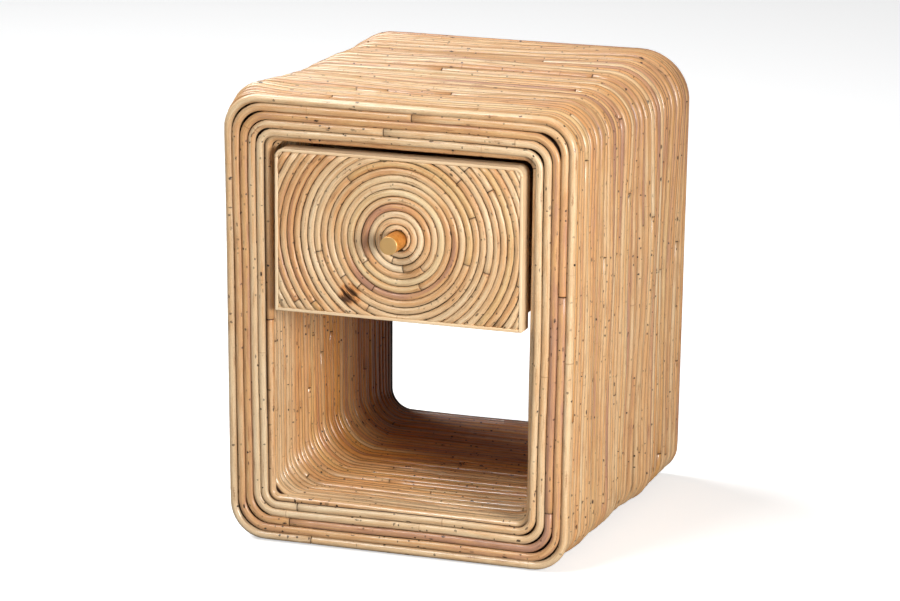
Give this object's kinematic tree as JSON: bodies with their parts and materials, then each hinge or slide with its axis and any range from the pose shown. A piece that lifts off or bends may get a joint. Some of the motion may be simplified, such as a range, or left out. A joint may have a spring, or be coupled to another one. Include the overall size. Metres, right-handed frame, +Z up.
{
  "type": "side table with drawer",
  "caption": "Cane-clad bedside table: a rounded rectangular tube open from front to back, with a drawer above an open space.",
  "frame": {"origin": "middle of the whole table's outline seen from above, knob included, on the floor", "axes": "+Z up, -Y out of the drawer's front, +X to the right seen from the front"},
  "size_m": [0.4108, 0.436, 0.5025],
  "materials": {
    "natural_cane": "clear satin lacquer over natural cane",
    "inlay_cane": "clear satin lacquer over natural cane",
    "pale_edging": "satin",
    "plywood": "matt",
    "solid_timber": "matt",
    "satin_brass": "satin",
    "zinc_steel": "zinc plated",
    "nylon": "matt"
  },
  "bodies": {
    "carcase": {"outer_cane_hoops": "natural_cane", "proud_outer_hoops": "natural_cane", "lining_cane_hoops": "natural_cane", "proud_lining_hoops": "natural_cane", "front_rim_cane_2": "natural_cane", "front_rim_cane_3": "natural_cane", "front_rim_cane_4": "natural_cane", "front_rim_cane_5": "natural_cane", "back_rim_canes": "natural_cane", "outer_skin_top": "plywood", "outer_skin_bottom": "plywood", "outer_skin_left": "plywood", "outer_skin_right": "plywood", "inner_skin_top": "plywood", "inner_skin_bottom": "plywood", "inner_skin_left": "plywood", "inner_skin_right": "plywood", "front_frame_battens": "solid_timber", "middle_frame_battens": "solid_timber", "back_frame_battens": "solid_timber", "upper_left_corner_post": "solid_timber", "upper_right_corner_post": "solid_timber", "lower_left_corner_post": "solid_timber", "lower_right_corner_post": "solid_timber", "floor_glides": "nylon", "runner_strip_left": "solid_timber", "runner_strip_right": "solid_timber", "drawer_stop_blocks": "solid_timber"},
    "drawer": {"drawer_front_panel": "plywood", "front_edging_top": "pale_edging", "front_edging_bottom": "pale_edging", "front_edging_left": "pale_edging", "front_edging_right": "pale_edging", "spiral_cane_inlay": "inlay_cane", "knob": "satin_brass", "knob_screw": "zinc_steel", "drawer_side_left": "plywood", "drawer_side_right": "plywood", "drawer_back": "plywood", "drawer_bottom": "plywood"}
  },
  "joints": [
    {"name": "drawer_slide", "type": "slide", "parent": "carcase", "child": "drawer", "axis": [0, -1, 0], "range_m": [0, 0.25]}
  ]
}
